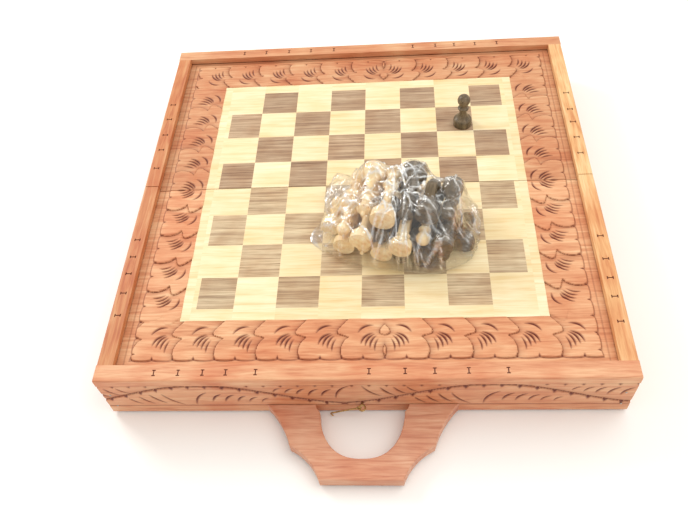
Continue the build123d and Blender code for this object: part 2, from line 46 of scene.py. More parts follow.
mm = 0.001
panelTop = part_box("front_light_veneer")[1].z / mm
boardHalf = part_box("front_wall")[1].x / mm
seamY = (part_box("front_light_veneer")[1].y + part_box("back_light_veneer")[0].y) / 2 / mm
wallLow, wallTop = (c.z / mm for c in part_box("front_wall"))
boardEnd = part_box("back_wall")[1].y / mm - seamY
endThick = boardEnd - (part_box("back_wall")[0].y / mm - seamY)
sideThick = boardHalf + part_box("front_left_wall")[1].x / mm
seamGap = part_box("back_left_wall")[0].y / mm - seamY
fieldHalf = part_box("front_light_veneer")[1].x / mm
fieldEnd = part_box("back_light_veneer")[1].y / mm - seamY
panelThick = 9.0
panelLetIn = 3.0  # how far the panels reach into the walls


def along(side, distance):
    return seamY + side * distance  # side is -1 for the front half, 1 for the back half


# small mesh helpers
def toObject(bm, name):
    mesh = bpy.data.meshes.new(name)
    bm.to_mesh(mesh)
    bm.free()
    made = bpy.data.objects.new(name, mesh)
    bpy.context.scene.collection.objects.link(made)
    return made


def addCube(bm, size, spot):
    return bmesh.ops.create_cube(bm, size=1, matrix=spot @ Matrix.Diagonal((*size, 1)))["verts"]


def turned(degrees, axis):
    return Matrix.Rotation(math.radians(degrees), 4, axis)


def shadeByAngle(bm, degrees=40):
    limit = math.radians(degrees)
    for face in bm.faces:
        face.smooth = True
    for edge in bm.edges:
        edge.smooth = edge.is_manifold and edge.calc_face_angle(0) < limit


def coordinates(mesh):
    flat = np.zeros(len(mesh.vertices) * 3, np.float32)
    mesh.vertices.foreach_get("co", flat)
    return flat.reshape(-1, 3).astype(float)


def setCoordinates(mesh, points):
    mesh.vertices.foreach_set("co", np.asarray(points, np.float32).ravel())
    mesh.update()


def addValues(mesh, name, values):
    layer = mesh.attributes.new(name, "FLOAT", "POINT")
    layer.data.foreach_set("value", np.asarray(values, np.float32))


def addVectors(mesh, name, vectors):
    layer = mesh.attributes.new(name, "FLOAT_VECTOR", "POINT")
    layer.data.foreach_set("vector", np.asarray(vectors, np.float32).ravel())


def gridPatch(bm, lowX, highX, lowY, highY, cell):
    countX = max(1, round((highX - lowX) / cell))
    countY = max(1, round((highY - lowY) / cell))
    place = Matrix.Translation(((lowX + highX) / 2, (lowY + highY) / 2, 0))
    stretch = Matrix.Diagonal(((highX - lowX) / 2, (highY - lowY) / 2, 1, 1))
    bmesh.ops.create_grid(bm, x_segments=countX, y_segments=countY, size=1, matrix=place @ stretch)


def ramp(value, low, high):
    share = np.clip((value - low) / (high - low), 0, 1)
    return share * share * (3 - 2 * share)


# depth of one gouge: a bent, tapered groove from start to end in the plane of u and v
def cutDepth(u, v, start, end, bend, width, depth):
    steps = 9
    best = np.zeros_like(u)
    across = np.array([-(end[1] - start[1]), end[0] - start[0]], float)
    across /= np.hypot(*across)
    points = []
    for i in range(steps + 1):
        t = i / steps
        swell = 4 * bend * t * (1 - t)
        points.append((start[0] + (end[0] - start[0]) * t + across[0] * swell,
                       start[1] + (end[1] - start[1]) * t + across[1] * swell, t))
    for (au, av, at), (bu, bv, bt) in zip(points, points[1:]):
        runU, runV = bu - au, bv - av
        share = np.clip(((u - au) * runU + (v - av) * runV) / (runU ** 2 + runV ** 2), 0, 1)
        gap = np.hypot(u - au - share * runU, v - av - share * runV)
        t = at + (bt - at) * share
        taper = np.clip(np.sin(np.pi * (0.06 + 0.9 * t)), 0, 1) ** 0.6
        wall = np.clip(1 - gap / (width / 2 * (0.35 + 0.65 * taper)), 0, 1)
        best = np.maximum(best, depth * taper * wall ** 0.85)
    return best


# materials
def tint(red, green, blue):
    return tuple((c / 255) ** 2.2 for c in (red, green, blue)) + (1,)


def node(tree, kind, inputs=None, **settings):
    made = tree.nodes.new(kind)
    for key, value in settings.items():
        setattr(made, key, value)
    for key, value in (inputs or {}).items():
        if isinstance(value, bpy.types.NodeSocket):
            tree.links.new(value, made.inputs[key])
        else:
            made.inputs[key].default_value = value
    return made


def newMaterial(name):
    material = bpy.data.materials.new(name)
    material.use_nodes = True
    material.node_tree.nodes.clear()
    return material, material.node_tree


def colourRamp(tree, factor, stops):
    made = node(tree, "ShaderNodeValToRGB", {"Fac": factor})
    elements = made.color_ramp.elements
    while len(elements) < len(stops):
        elements.new(0.5)
    for element, (position, colour) in zip(elements, stops):
        element.position = position
        element.color = colour
    return made.outputs["Color"]


def mathNode(tree, operation, *values):
    made = node(tree, "ShaderNodeMath", operation=operation)
    for index, value in enumerate(values):
        if isinstance(value, bpy.types.NodeSocket):
            tree.links.new(value, made.inputs[index])
        else:
            made.inputs[index].default_value = value
    return made.outputs[0]


def blendColours(tree, factor, first, second, how="MIX"):
    made = node(tree, "ShaderNodeMix", data_type="RGBA", blend_type=how)
    for index, value in ((0, factor), (6, first), (7, second)):
        if isinstance(value, bpy.types.NodeSocket):
            tree.links.new(value, made.inputs[index])
        else:
            made.inputs[index].default_value = value
    return made.outputs[2]


# principled shader with bumps stacked from (height, distance) pairs
def surface(tree, colour, roughness, bumps, coat=0.0, specular=0.5):
    normal = None
    for height, distance in bumps:
        inputs = {"Height": height, "Distance": distance, "Strength": 1.0}
        if normal is not None:
            inputs["Normal"] = normal
        normal = node(tree, "ShaderNodeBump", inputs).outputs["Normal"]
    shader = node(tree, "ShaderNodeBsdfPrincipled", {"Base Color": colour, "Roughness": roughness})
    shader.inputs["Coat Weight"].default_value = coat
    shader.inputs["Coat Roughness"].default_value = 0.25
    shader.inputs["Specular IOR Level"].default_value = specular
    if normal is not None:
        tree.links.new(normal, shader.inputs["Normal"])
    output = node(tree, "ShaderNodeOutputMaterial")
    tree.links.new(shader.outputs[0], output.inputs["Surface"])
    return shader


# wood: broad figure, fine fibre streaks and blotches, stretched along the grain
def makeWood(name, look):
    material, tree = newMaterial(name)
    if look.get("space"):
        place = node(tree, "ShaderNodeAttribute", attribute_name=look["space"]).outputs["Vector"]
    else:
        place = node(tree, "ShaderNodeTexCoord").outputs["Object"]
    if look.get("tile"):
        place, tone = tileOffsets(tree, place)
    stretch = [look["across"]] * 3
    stretch["XYZ".index(look["grain"])] = look["lengthwise"]
    mapped = node(tree, "ShaderNodeMapping", {"Vector": place, "Scale": stretch}).outputs["Vector"]
    figure = node(tree, "ShaderNodeTexNoise", {"Vector": mapped, "Scale": 1.0, "Detail": 4.0,
                                               "Roughness": 0.55, "Distortion": look["wander"]})
    fineStretch = [look["across"] * 6] * 3
    fineStretch["XYZ".index(look["grain"])] = look["lengthwise"] * 4
    fineMapped = node(tree, "ShaderNodeMapping", {"Vector": place, "Scale": fineStretch}).outputs[0]
    fibre = node(tree, "ShaderNodeTexNoise", {"Vector": fineMapped, "Scale": 1.0, "Detail": 3.0,
                                              "Roughness": 0.6})
    blotch = node(tree, "ShaderNodeTexNoise", {"Vector": place, "Scale": look["blotch"], "Detail": 2.0,
                                               "Roughness": 0.5})
    colour = colourRamp(tree, figure.outputs[0], [(0.30, look["dark"]), (0.48, look["mid"]),
                                                  (0.68, look["pale"])])
    streak = colourRamp(tree, fibre.outputs[0], [(0.30, look["streak"]), (0.55, (1, 1, 1, 1))])
    colour = blendColours(tree, look["fibre"], colour, streak, "MULTIPLY")
    patch = colourRamp(tree, blotch.outputs[0], [(0.32, look["patch"]), (0.62, (1, 1, 1, 1))])
    colour = blendColours(tree, look["patchiness"], colour, patch, "MULTIPLY")
    if look.get("tile"):
        shade = colourRamp(tree, tone, [(0.0, look["toneLow"]), (1.0, look["toneHigh"])])
        colour = blendColours(tree, 1.0, colour, shade, "MULTIPLY")
    # darkens the colour by the cut attribute with the cuts tint: painted shade in the carved steps, grooves,
    # notches and small marks
    if look.get("cuts"):
        cuts = node(tree, "ShaderNodeAttribute", attribute_name="cut").outputs["Fac"]
        colour = blendColours(tree, cuts, colour, blendColours(tree, 1.0, colour, look["cuts"], "MULTIPLY"))
    roughness = node(tree, "ShaderNodeMapRange", {"Value": fibre.outputs[0], "To Min": look["gloss"][0],
                                                  "To Max": look["gloss"][1]}).outputs[0]
    bumps = [(figure.outputs[0], look["bump"]), (fibre.outputs[0], look["bump"] * 0.5)]
    if look.get("rings"):
        lathe = node(tree, "ShaderNodeMapping", {"Vector": place, "Scale": (20, 20, 2600)}).outputs[0]
        rings = node(tree, "ShaderNodeTexNoise", {"Vector": lathe, "Scale": 1.0})
        bumps.append((rings.outputs[0], 0.00006))
    surface(tree, colour, roughness, bumps, look.get("coat", 0.0), look.get("specular", 0.4))
    return material


# moves the grain of each chess square at random, with a random tone beside it
def tileOffsets(tree, place):
    split = node(tree, "ShaderNodeSeparateXYZ", {"Vector": place})
    square = 0.035
    column = mathNode(tree, "FLOOR", mathNode(tree, "DIVIDE", split.outputs[0], square))
    fromSeam = mathNode(tree, "ABSOLUTE", mathNode(tree, "SUBTRACT", split.outputs[1], seamY * mm))
    fromFirst = mathNode(tree, "ADD", fromSeam, 0.002)  # the squares at the seam are 2 mm short
    row = mathNode(tree, "FLOOR", mathNode(tree, "DIVIDE", fromFirst, square))
    half = mathNode(tree, "GREATER_THAN", split.outputs[1], seamY * mm)
    cell = node(tree, "ShaderNodeCombineXYZ", {0: column, 1: row, 2: half}).outputs[0]
    noise = node(tree, "ShaderNodeTexWhiteNoise", {"Vector": cell})
    shift = node(tree, "ShaderNodeVectorMath", {0: noise.outputs["Color"], 1: (0.7, 0.7, 0.7)},
                 operation="MULTIPLY")
    moved = node(tree, "ShaderNodeVectorMath", {0: place, 1: shift.outputs[0]}, operation="ADD")
    return moved.outputs[0], noise.outputs["Value"]


frameWood = {"pale": tint(224, 180, 138), "mid": tint(214, 158, 116), "dark": tint(193, 131, 93),
             "streak": tint(222, 190, 170), "fibre": 0.5, "patch": tint(238, 200, 184), "patchiness": 0.8,
             "across": 190, "lengthwise": 16, "wander": 1.2, "blotch": 26, "bump": 0.0001,
             "gloss": (0.42, 0.62), "coat": 0.12}


# a copy of the frame wood with some settings changed; its tone changes on the rails and borders are painted
# light and shade
def frameWoodVariant(**changes):
    look = dict(frameWood)
    look.update(changes)
    return look


walnut = {"grain": "X", "tile": True, "pale": tint(234, 213, 174), "mid": tint(214, 189, 152),
          "dark": tint(180, 152, 120), "streak": tint(165, 145, 126), "fibre": 0.8,
          "patch": tint(225, 205, 190), "patchiness": 0.7, "across": 330, "lengthwise": 9, "wander": 0.8,
          "blotch": 40, "bump": 0.00008, "gloss": (0.4, 0.6), "toneLow": (0.82, 0.80, 0.80, 1),
          "toneHigh": (1, 1, 1, 1), "coat": 0.08}

# lit and shaded copies of one wood: the left rail, back border and back dark squares are darkened as painted
# shade, the right and front rails are lightened as painted light
woods = {
    "frontRailWood": makeWood("frontRailWood", frameWoodVariant(
        grain="X", cuts=tint(120, 60, 50), pale=tint(230, 182, 140), mid=tint(222, 161, 121),
        dark=tint(203, 136, 98))),
    "backRailWood": makeWood("backRailWood", frameWoodVariant(grain="X", cuts=tint(120, 60, 50))),
    "leftRailWood": makeWood("leftRailWood", frameWoodVariant(
        grain="Y", cuts=tint(120, 60, 50), pale=tint(211, 156, 109), mid=tint(200, 131, 84),
        dark=tint(179, 104, 64))),
    "rightRailWood": makeWood("rightRailWood", frameWoodVariant(
        grain="Y", cuts=tint(120, 60, 50), pale=tint(240, 206, 154), mid=tint(231, 183, 126),
        dark=tint(212, 150, 98))),
    "frontBorderWood": makeWood("frontBorderWood", frameWoodVariant(
        grain="X", cuts=tint(120, 58, 50), gloss=(0.5, 0.7), coat=0.0, pale=tint(234, 189, 146),
        mid=tint(224, 166, 124), dark=tint(202, 137, 98))),
    "backBorderWood": makeWood("backBorderWood", frameWoodVariant(
        grain="X", cuts=tint(120, 58, 50), gloss=(0.5, 0.7), coat=0.0, pale=tint(220, 176, 135),
        mid=tint(210, 154, 114), dark=tint(188, 126, 90))),
    "handleWood": makeWood("handleWood", frameWoodVariant(grain="X", pale=tint(226, 180, 148), mid=tint(215, 159, 128),
                                                 dark=tint(194, 132, 105))),
    "paleVeneer": makeWood("paleVeneer", {
        "grain": "X", "tile": True, "pale": tint(251, 236, 200), "mid": tint(246, 227, 186),
        "dark": tint(236, 210, 162), "streak": tint(240, 225, 190), "fibre": 0.5,
        "patch": tint(248, 238, 215), "patchiness": 0.6, "across": 230, "lengthwise": 12, "wander": 0.6,
        "blotch": 30, "bump": 0.00004, "gloss": (0.42, 0.55), "toneLow": (0.93, 0.92, 0.88, 1),
        "toneHigh": (1, 1, 1, 1), "coat": 0.08}),
    "frontWalnut": makeWood("frontWalnut", walnut),
    "backWalnut": makeWood("backWalnut", dict(walnut, pale=tint(214, 187, 154), mid=tint(194, 164, 132),
                                              dark=tint(160, 130, 104))),
    "paleTurning": makeWood("paleTurning", {
        "grain": "Z", "space": "turned", "rings": True, "pale": tint(254, 240, 202),
        "mid": tint(250, 226, 176), "dark": tint(238, 202, 148), "streak": tint(232, 205, 170),
        "fibre": 0.5, "patch": tint(240, 215, 185), "patchiness": 0.5, "across": 260, "lengthwise": 20,
        "wander": 0.5, "blotch": 60, "bump": 0.00004, "gloss": (0.35, 0.5), "coat": 0.2}),
    "darkTurning": makeWood("darkTurning", {
        "grain": "Z", "space": "turned", "rings": True, "pale": tint(134, 116, 90), "mid": tint(108, 92, 68),
        "dark": tint(74, 62, 46), "streak": tint(150, 135, 118), "fibre": 0.6, "patch": tint(190, 185, 170),
        "patchiness": 0.5, "across": 260, "lengthwise": 20, "wander": 0.5, "blotch": 60, "bump": 0.00004,
        "gloss": (0.34, 0.5), "coat": 0.15}),
}


def makeMetal(name, colour, dull, roughness):
    material, tree = newMaterial(name)
    place = node(tree, "ShaderNodeTexCoord").outputs["Object"]
    noise = node(tree, "ShaderNodeTexNoise", {"Vector": place, "Scale": 700.0, "Detail": 4.0})
    shade = colourRamp(tree, noise.outputs[0], [(0.35, dull), (0.62, colour)])
    rough = node(tree, "ShaderNodeMapRange", {"Value": noise.outputs[0], "To Min": roughness + 0.15,
                                              "To Max": roughness}).outputs[0]
    shader = surface(tree, shade, rough, [(noise.outputs[0], 0.00003)])
    shader.inputs["Metallic"].default_value = 1.0
    return material


def makeFelt():
    material, tree = newMaterial("padFelt")
    place = node(tree, "ShaderNodeTexCoord").outputs["Object"]
    noise = node(tree, "ShaderNodeTexNoise", {"Vector": place, "Scale": 1600.0, "Detail": 3.0})
    shade = colourRamp(tree, noise.outputs[0], [(0.3, tint(52, 40, 36)), (0.7, tint(96, 78, 68))])
    shader = surface(tree, shade, 0.95, [(noise.outputs[0], 0.0003)])
    shader.inputs["Sheen Weight"].default_value = 0.4
    return material


def makeFilm():
    material, tree = newMaterial("clearFilm")
    place = node(tree, "ShaderNodeTexCoord").outputs["Object"]
    waves = node(tree, "ShaderNodeTexNoise", {"Vector": place, "Scale": 90.0, "Detail": 5.0, "Roughness": 0.6,
                                              "Distortion": 1.5})
    bump = node(tree, "ShaderNodeBump", {"Height": waves.outputs[0], "Distance": 0.0012, "Strength": 0.8})
    clear = node(tree, "ShaderNodeBsdfTransparent", {"Color": (0.995, 0.995, 0.99, 1)})
    # creaseShine is a painted highlight: it raises the film's mirror share and roughness along crease crests,
    # the wall band and pleat crests, painting white streaks
    creaseShine = node(tree, "ShaderNodeAttribute", attribute_name="creaseShine").outputs["Fac"]
    rough = node(tree, "ShaderNodeMapRange", {"Value": creaseShine, "To Min": 0.07, "To Max": 0.4}).outputs[0]
    gloss = node(tree, "ShaderNodeBsdfPrincipled", {"Base Color": (0.95, 0.96, 0.95, 1), "Metallic": 1.0,
                                                    "Roughness": rough, "Normal": bump.outputs[0]})
    edge = node(tree, "ShaderNodeLayerWeight", {"Blend": 0.5, "Normal": bump.outputs[0]})
    amount = mathNode(tree, "MULTIPLY", mathNode(tree, "POWER", edge.outputs["Facing"], 2.6), 0.55)
    amount = mathNode(tree, "ADD", amount, mathNode(tree, "MULTIPLY", creaseShine, 0.8))
    amount = mathNode(tree, "MINIMUM", mathNode(tree, "ADD", amount, 0.08), 0.92)
    mixed = node(tree, "ShaderNodeMixShader", {0: amount, 1: clear.outputs[0], 2: gloss.outputs[0]})
    output = node(tree, "ShaderNodeOutputMaterial")
    tree.links.new(mixed.outputs[0], output.inputs["Surface"])
    return material


brass = makeMetal("agedBrass", tint(206, 172, 112), tint(150, 120, 76), 0.28)
steel = makeMetal("plainSteel", tint(198, 196, 190), tint(150, 148, 142), 0.3)
felt = makeFelt()
filmLook = makeFilm()


def dress(piece, material):
    piece.data.materials.clear()
    piece.data.materials.append(material)
    return piece


def mount(piece, body, slot, material, *nodes):
    dress(piece, material)
    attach(piece, body)
    if nodes:
        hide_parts(*nodes)
    return piece


print("materials made")

# carved border of each half: depths and places in mm, leaves along the end and up the sides
border = {"cell": 0.62, "top": 0.55, "bottom": 46.3, "ledge": 182.0, "ledgeDepth": 1.6, "middle": 18.75,
          "endPitch": 33.3, "endStart": -147.8, "sidePitch": 30.5, "sideStart": 23.9, "deepest": 1.98}
leafCuts = [((12.5, 23.5), (24.5, 30.0), 2.4, 2.6, 1.1), ((14.8, 13.2), (24.4, 23.2), 2.2, 2.5, 1.2),
            ((18.3, 11.6), (25.6, 22.2), 1.9, 2.5, 1.2), ((22.0, 9.8), (27.0, 20.6), 1.6, 2.4, 1.1),
            ((25.8, 7.0), (28.4, 17.8), 1.2, 2.1, 1.0)]
leafEdge = [(0, 1.2), (2, 0), (6, -0.9), (10, -0.7), (14, 0.5), (17, 2.3), (19.3, 5.0), (20.4, 2.6),
            (22, -2.6), (24, -4.0), (27, -3.2), (31, 0.0), (36, 4.2)]  # (in from the ledge, lean)


# how far a leaf's edge leans along the border at t, counted in from the ledge
def leafReach(t):
    return -np.interp(t, [p[0] for p in leafEdge], [p[1] for p in leafEdge])


# depth and painted shade of one leaf: it rises towards its free edge and has ribs gouged in
def leafSurface(q, s, t, pitch):
    share = q / pitch
    depth = 0.05 + 1.25 * share ** 1.7
    depth += 0.5 * np.clip(1 - q / 1.4, 0, 1) ** 2
    step = np.clip(1 - (pitch - q) / 1.1, 0, 1)
    depth += 0.6 * step
    # cut is painted shade: dark at the step, a soft band of shade leading up to it, and dark gouges
    cut = np.maximum(0.9 * step, 0.5 * np.exp(-(pitch - q) / 2.4))
    for start, end, bend, width, deep in leafCuts:
        groove = cutDepth(s, t, start, end, bend, width, deep)
        depth += groove
        cut = np.maximum(cut, np.clip(groove * 1.15, 0, 1))
    return depth, cut


# relief of a whole border at x and at the distance d from the seam, with its painted shade (cut)
def borderRelief(x, d):
    tEnd = border["ledge"] - d
    tSide = border["ledge"] - np.abs(x)
    pitch, start = border["endPitch"], border["endStart"]
    reach = leafReach(tEnd)
    leftHalf = x < border["middle"]
    qLeft = np.mod(x - start + reach, pitch)
    qRight = np.mod(2 * border["middle"] - x - start + reach, pitch)
    q = np.where(leftHalf, qLeft, qRight)
    depth, cut = leafSurface(q, q - reach, tEnd, pitch)
    sideReach = leafReach(tSide)
    sideLead = border["sideStart"] + 4 * border["sidePitch"]
    onSide = (np.abs(x) > fieldHalf - 0.5) & (d < sideLead + sideReach)
    qSide = np.mod(border["sideStart"] - d + sideReach, border["sidePitch"])
    qSide = qSide * pitch / border["sidePitch"]
    sideDepth, sideCut = leafSurface(qSide, qSide - sideReach, tSide, pitch)
    depth = np.where(onSide, sideDepth, depth)
    cut = np.where(onSide, sideCut, cut)
    # scalloped outer contour with a small notch every half leaf
    endStep, sideStep = pitch / 2, border["sidePitch"] / 2
    fromMiddle = np.where(leftHalf, x - start, 2 * border["middle"] - x - start)
    endPhase = np.abs(np.mod(fromMiddle + endStep / 2, endStep) - endStep / 2)
    sidePhase = np.abs(np.mod(d - border["sideStart"] + sideStep / 2, sideStep) - sideStep / 2)
    nearEnd = tEnd < tSide
    t = np.where(nearEnd, tEnd, tSide)
    phase = np.where(nearEnd, endPhase, sidePhase)
    stepLength = np.where(nearEnd, endStep, sideStep)
    contour = 1.1 * (1 - np.sin(np.pi * np.clip(phase / stepLength, 0, 0.5)) ** 0.6)
    notch = np.clip(1.5 * (1 - (t - contour) / 3.2) - phase, 0, 1) * (t < contour + 3.2)
    depth = depth + 0.9 * notch
    # the notches get painted shade
    cut = np.maximum(cut, notch)
    rim = np.clip(1 - (t - contour) / 1.0, 0, 1)
    depth = depth + 0.35 * rim ** 2
    outside = ramp(contour - t, -0.15, 0.55)
    line = np.clip(1 - np.abs(t + 4.7) / 0.55, 0, 1)
    ledgeDepth = border["ledgeDepth"] + 0.35 * line
    foot = np.clip(1 - np.abs(t - contour + 0.5) / 0.8, 0, 1)
    # painted shade along the foot of the contour and along the groove line
    cut = np.maximum(cut * (1 - outside), np.maximum(foot * 0.8, line * 0.7))
    depth = depth * (1 - outside) + ledgeDepth * outside
    return np.minimum(depth, border["deepest"]), cut


# carved skin on a plain core, in place of the panel of one half
def makeBorder(side, half):
    railX = boardHalf - sideThick
    railD = boardEnd - endThick
    bm = bmesh.new()
    for lowX, highX in ((-railX, -fieldHalf), (fieldHalf, railX)):
        gridPatch(bm, lowX, highX, seamGap, fieldEnd, border["cell"])
        gridPatch(bm, lowX, highX, fieldEnd, railD, border["cell"])
    gridPatch(bm, -fieldHalf, fieldHalf, fieldEnd, railD, border["cell"])
    bmesh.ops.remove_doubles(bm, verts=bm.verts, dist=0.01)
    for vertex in bm.verts:
        vertex.co.z = panelTop
    rim = [e for e in bm.edges if e.is_boundary]
    skirt = bmesh.ops.extrude_edge_only(bm, edges=rim)["geom"]
    for vertex in (v for v in skirt if isinstance(v, bmesh.types.BMVert)):
        vertex.co.z = border["bottom"]
    bmesh.ops.holes_fill(bm, edges=[e for e in bm.edges if e.is_boundary], sides=0)
    coreLow, coreEnd = panelTop - panelThick, railD + panelLetIn
    middle = (0, (coreEnd + seamGap) / 2, (border["bottom"] + coreLow) / 2)
    size = (2 * (railX + panelLetIn), coreEnd - seamGap, border["bottom"] - coreLow)
    addCube(bm, size, Matrix.Translation(middle))
    bmesh.ops.recalc_face_normals(bm, faces=bm.faces)
    piece = toObject(bm, half + "_carved_panel")
    points = coordinates(piece.data)
    upper = points[:, 2] > border["bottom"] + 0.1
    depth, cut = borderRelief(points[:, 0], points[:, 1])
    points[upper, 2] = panelTop + border["top"] - depth[upper]
    points[:, 1] = seamY + side * points[:, 1]
    setCoordinates(piece.data, points * mm)
    if side < 0:
        piece.data.flip_normals()
    # the cut attribute carries the carving's painted shade
    addValues(piece.data, "cut", np.where(upper, cut, 0))
    smoothCarving(piece)
    return mount(piece, half + "_half", "carved_border_wood", woods[half + "BorderWood"], half + "_panel")


def smoothCarving(piece):
    bm = bmesh.new()
    bm.from_mesh(piece.data)
    shadeByAngle(bm)
    bm.to_mesh(piece.data)
    bm.free()


makeBorder(-1, "front")
makeBorder(1, "back")
print("borders carved")

# walls with carved outer faces: the carved strip's heights, the vine's peaks and periods in mm
vine = {"cell": 0.75, "low": 12.0, "high": 44.4, "skin": 1.9, "endPeak": -127.0, "endPeriod": 226.0,
        "sidePeak": 92.0, "sidePeriod": 190.0, "notchStep": 13.2, "round": 1.2}
vineCuts = [((-30, 19), (-15, 1.5), -2.4, 2.4, 1.1), ((6, 21), (-5, 1.5), -3.0, 2.6, 1.2),
            ((17, 18), (9.0, 7), -1.6, 2.8, 1.3), ((27, 17), (19, 6.5), -1.6, 2.8, 1.3),
            ((36, 15), (29, 6), -1.5, 2.7, 1.2), ((45, 13), (38, 5.5), -1.4, 2.5, 1.1),
            ((54, 11.5), (48, 5), -1.2, 2.3, 1.0), ((-40, 18), (-29, 4), -1.6, 2.6, 1.2),
            ((-49, 15), (-39, 3.5), -1.5, 2.5, 1.1), ((-58, 12.5), (-49, 3), -1.3, 2.3, 1.0)]


# relief of a wall: one waving vine between two lines, notches and gouged leaves, with painted shade (cut)
# along the vine, in the notches and gouges and on the edge lines
def vineRelief(u, z, peak, period):
    height = vine["high"] - vine["low"]
    h = z - vine["low"]
    phase = np.mod(u - peak + period / 2, period) - period / 2  # 0 at the peak of the vine
    swing = 0.5 + 0.5 * np.cos(2 * np.pi * phase / period)
    ridge = 1.6 + (height - 3.0) * swing ** 0.85
    slope = np.abs(np.sin(2 * np.pi * phase / period)) * (height - 3) * np.pi / period
    gap = (h - ridge) / np.sqrt(1 + slope ** 2)
    above = 0.35 + 0.95 * np.exp(-np.abs(gap) / 3.6)
    below = 0.30 - 0.26 * np.exp(-np.abs(gap) / 4)
    depth = np.where(gap > 0, above, below)
    shadow = 0.45 * np.exp(-np.abs(gap) / 2.5) * (gap > 0)
    # painted shade: a dark line along the vine and the painted shadow beside it
    cut = np.maximum(np.clip(1.0 - np.abs(gap - 0.6) / 0.85, 0, 1), shadow)
    depth = depth + 0.25 * np.clip(1 - np.abs(gap - 0.6) / 0.9, 0, 1)
    step = vine["notchStep"]
    notchPhase = np.abs(np.mod(phase, step) - step / 2)
    notch = np.clip(2.4 * (1 + gap / 4.4) - notchPhase, 0, 1) * (gap < 0.3) * (gap > -4.4)
    depth = depth + 0.8 * notch
    cut = np.maximum(cut, notch)
    topPhase = np.abs(np.mod(phase + step / 2, step) - step / 2)
    topNotch = np.clip(2.4 * (1 - (height - h) / 4.0) - topPhase, 0, 1) * (gap > 4)
    depth = depth + 0.8 * topNotch
    cut = np.maximum(cut, topNotch)
    upperPhase = np.mod(phase, period) - period / 2
    for start, end, bend, width, deep in vineCuts:
        lower = cutDepth(phase, h, start, end, bend, width, deep) * (gap < -1.2)
        upper = cutDepth(-upperPhase, height - h, start, end, -bend, width, deep) * (gap > 1.2)
        groove = np.maximum(lower, upper)
        depth = depth + groove
        cut = np.maximum(cut, np.clip(groove * 1.1, 0, 1))
    edgeGap = np.minimum(np.abs(h), np.abs(h - height))
    line = np.clip(1 - edgeGap / 0.8, 0, 1)
    inside = ramp(h, -0.2, 0.6) * ramp(height - h, -0.2, 0.6)
    # the edge lines get painted shade too
    depth = depth * inside + 0.7 * line
    cut = np.maximum(cut * inside, 0.75 * line)
    return depth, cut


# the wall's own mesh drawn in behind a carved outer skin
def carvedWall(source, name, side, sideways):
    def reliefAt(u, z):
        if sideways:
            return vineRelief(side * (u - seamY), z, vine["sidePeak"], vine["sidePeriod"])
        return vineRelief(u, z, vine["endPeak"], vine["endPeriod"])

    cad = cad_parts[source]
    axis = 0 if sideways else 1
    outward = sideways if sideways else side
    face = outward * boardHalf if sideways else along(side, boardEnd)
    points = coordinates(cad.data) / mm
    limit = face - outward * vine["skin"]
    core = bmesh.new()
    core.from_mesh(cad.data)
    bmesh.ops.scale(core, verts=core.verts, vec=(1 / mm,) * 3)
    bmesh.ops.remove_doubles(core, verts=core.verts, dist=0.001)
    for vertex in core.verts:
        if outward * (vertex.co[axis] - limit) > 0:
            vertex.co[axis] = limit
    bmesh.ops.remove_doubles(core, verts=core.verts, dist=0.0005)
    bmesh.ops.dissolve_degenerate(core, edges=core.edges, dist=0.0005)
    other = 1 - axis
    lowU, highU = points[:, other].min(), points[:, other].max()
    radius = vine["round"]
    flat = wallTop - radius - wallLow
    skinLength = flat + radius * math.pi / 2 + vine["skin"] - radius
    bm = bmesh.new()
    gridPatch(bm, lowU, highU, 0, skinLength, vine["cell"])
    rows = toObject(bm, name)
    grid = coordinates(rows.data)
    u, w = grid[:, 0], grid[:, 1]
    angle = np.clip((w - flat) / radius, 0, math.pi / 2)
    z = wallLow + np.minimum(w, flat) + radius * np.sin(angle)
    back = radius * (1 - np.cos(angle)) + np.clip(w - flat - radius * math.pi / 2, 0, None)
    depth = reliefAt(u, z)[0]
    back = np.minimum(back + np.where(w < flat, depth, 0), vine["skin"])
    back = np.where(w >= skinLength - 1e-4, vine["skin"], back)
    shaped = np.zeros_like(grid)
    shaped[:, other] = u
    shaped[:, axis] = face - outward * back
    shaped[:, 2] = z
    setCoordinates(rows.data, shaped)
    skin = bmesh.new()
    skin.from_mesh(rows.data)
    rim = [e for e in skin.edges if e.is_boundary]
    edge = bmesh.ops.extrude_edge_only(skin, edges=rim)["geom"]
    for vertex in (v for v in edge if isinstance(v, bmesh.types.BMVert)):
        vertex.co[axis] = limit
    bmesh.ops.remove_doubles(skin, verts=skin.verts, dist=0.001)
    bmesh.ops.holes_fill(skin, edges=[e for e in skin.edges if e.is_boundary], sides=0)
    bmesh.ops.recalc_face_normals(skin, faces=skin.faces)
    skin.to_mesh(rows.data)
    skin.free()
    coreMesh = bpy.data.meshes.new(name + "Core")
    core.to_mesh(coreMesh)
    core.free()
    joined = bmesh.new()
    joined.from_mesh(rows.data)
    joined.from_mesh(coreMesh)
    bpy.data.meshes.remove(coreMesh)
    bmesh.ops.scale(joined, verts=joined.verts, vec=(mm,) * 3)
    shadeByAngle(joined)
    joined.to_mesh(rows.data)
    joined.free()
    final = coordinates(rows.data) / mm
    uFinal = final[:, other]
    zFinal = final[:, 2]
    onFace = outward * (final[:, axis] - limit) > 0.02
    # cut: the vine's painted shade on the carved face, and full painted shade on the faces 0.3 to 0.9 mm
    # below the wall's top, off that face, inside the small marks
    values = reliefAt(uFinal, zFinal)[1]
    markWallShade = (zFinal < wallTop - 0.3) & (zFinal > wallTop - 0.9) & ~onFace
    addValues(rows.data, "cut", np.where(onFace, values, 0) + 1.0 * markWallShade)
    return rows


